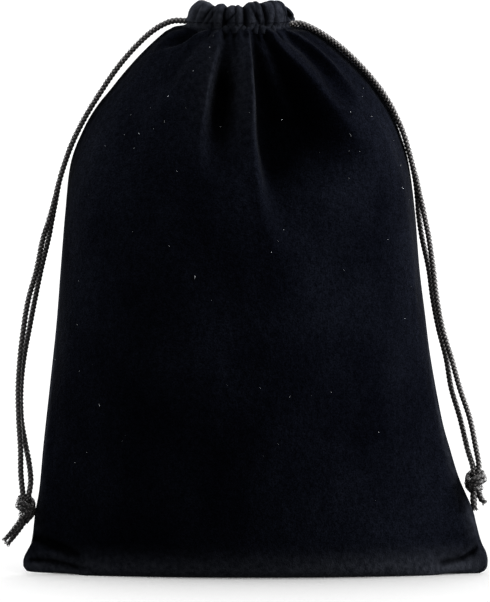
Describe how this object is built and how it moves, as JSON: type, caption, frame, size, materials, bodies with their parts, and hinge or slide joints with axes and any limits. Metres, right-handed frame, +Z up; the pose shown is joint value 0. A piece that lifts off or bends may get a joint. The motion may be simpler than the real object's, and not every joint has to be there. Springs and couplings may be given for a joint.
{
  "type": "drawstring dice bag",
  "caption": "Filled black velvet dice pouch standing upright, gathered shut at the neck by a braided drawstring on each side, each tied in a knot.",
  "frame": {"origin": "on the ground under the bag, at the middle of its bottom seam", "axes": "+X along the bottom seam to the viewer's right, +Y from the front panel to the back panel, +Z up"},
  "size_m": [0.2084, 0.086, 0.247],
  "materials": {
    "velvet": "matte short-pile velvet with a faint cool sheen on the folds",
    "cord": "braided synthetic cord, satin",
    "thread": "matt sewing thread"
  },
  "bodies": {
    "bag": {"front_panel": "velvet", "back_panel": "velvet", "left_side_stitching": "thread", "right_side_stitching": "thread", "bottom_stitching": "thread"},
    "front_mouth": {"front_channel": "velvet", "front_hem_stitching": "thread", "left_cord_front_run": "cord", "right_cord_front_run": "cord"},
    "back_mouth": {"back_channel": "velvet", "back_hem_stitching": "thread", "left_cord_back_run": "cord", "right_cord_back_run": "cord"},
    "left_drawstring": {"left_cord_front_strand": "cord", "left_cord_back_strand": "cord"},
    "left_knot": {"left_knot": "cord", "left_cord_front_tail": "cord", "left_cord_back_tail": "cord"},
    "right_drawstring": {"right_cord_front_strand": "cord", "right_cord_back_strand": "cord"},
    "right_knot": {"right_knot": "cord", "right_cord_front_tail": "cord", "right_cord_back_tail": "cord"}
  },
  "joints": [
    {"name": "front_mouth_slide", "type": "slide", "parent": "bag", "child": "front_mouth", "axis": [0, -1, 0], "range_m": [0, 0.018]},
    {"name": "back_mouth_slide", "type": "slide", "parent": "bag", "child": "back_mouth", "axis": [0, 1, 0], "range_m": [0, 0.018]},
    {"name": "left_drawstring_swing", "type": "hinge", "parent": "bag", "child": "left_drawstring", "pos_m": [-0.0248, 0, 0.2379], "axis": [0, 1, 0], "range_deg": [0, 70]},
    {"name": "left_knot_slide", "type": "slide", "parent": "left_drawstring", "child": "left_knot", "axis": [0, 0, 1], "range_m": [0, 0.029], "deforming": ["left_cord_front_strand", "left_cord_back_strand"]},
    {"name": "right_drawstring_swing", "type": "hinge", "parent": "bag", "child": "right_drawstring", "pos_m": [0.0102, 0, 0.2409], "axis": [0, -1, 0], "range_deg": [0, 70]},
    {"name": "right_knot_slide", "type": "slide", "parent": "right_drawstring", "child": "right_knot", "axis": [0, 0, 1], "range_m": [0, 0.029], "deforming": ["right_cord_front_strand", "right_cord_back_strand"]}
  ],
  "couplings": [
    {"joint": "back_mouth_slide", "follows": "front_mouth_slide", "ratio": 1},
    {"joint": "left_knot_slide", "follows": "front_mouth_slide", "ratio": 1.6},
    {"joint": "right_knot_slide", "follows": "front_mouth_slide", "ratio": 1.6}
  ]
}
